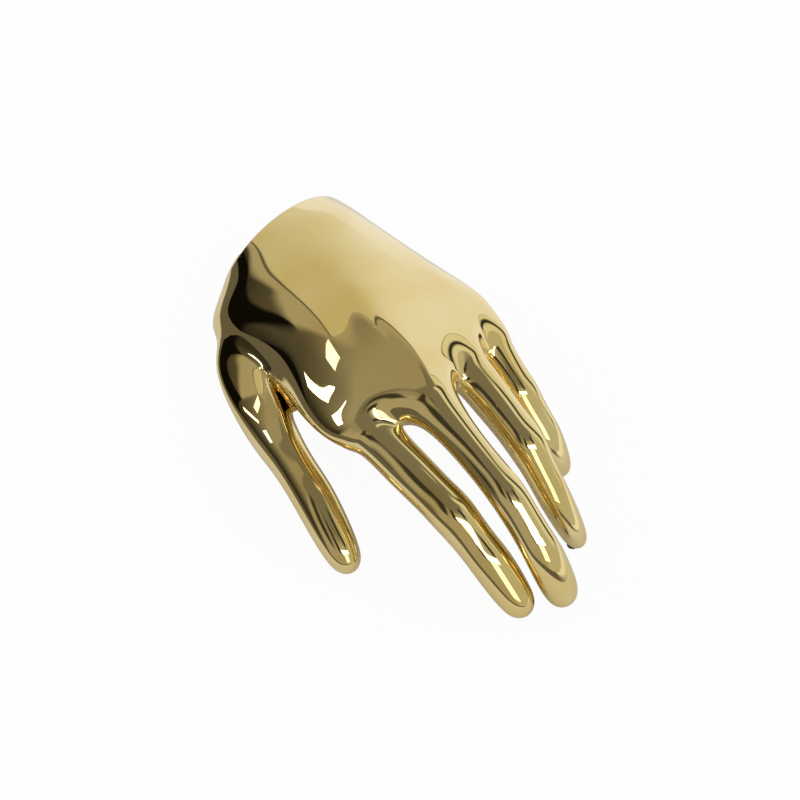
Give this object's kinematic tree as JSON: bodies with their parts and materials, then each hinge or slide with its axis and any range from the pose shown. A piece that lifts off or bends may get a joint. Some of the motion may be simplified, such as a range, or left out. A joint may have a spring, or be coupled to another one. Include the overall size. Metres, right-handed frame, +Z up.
{
  "type": "hand sculpture",
  "caption": "Life-size left hand in mirror-polished gold metal, arched and resting palm down on its fingertips, thumb and heel, as a tabletop ornament or paperweight.",
  "frame": {"origin": "middle of the hand's plan box, at table height", "axes": "+X towards the fingertips, -Y towards the thumb, +Z up from the table"},
  "size_m": [0.166, 0.0896, 0.0546],
  "materials": {
    "gilt": "mirror-polished gold plate",
    "inner_brass": "as cast and machined",
    "screw_steel": "bright zinc plate",
    "foot_rubber": "matt moulded"
  },
  "bodies": {
    "root": {"dorsal_shell": "gilt", "palmar_shell": "gilt", "thumb_shell": "gilt", "thumb_spigot": "inner_brass", "wrist_plate": "gilt", "wrist_collar": "inner_brass", "plate_screw_1": "screw_steel", "plate_screw_2": "screw_steel", "plate_screw_3": "screw_steel", "little_foot": "foot_rubber", "ring_foot": "foot_rubber", "middle_foot": "foot_rubber", "index_foot": "foot_rubber", "thumb_foot": "foot_rubber", "heel_foot": "foot_rubber"}
  },
  "joints": []
}
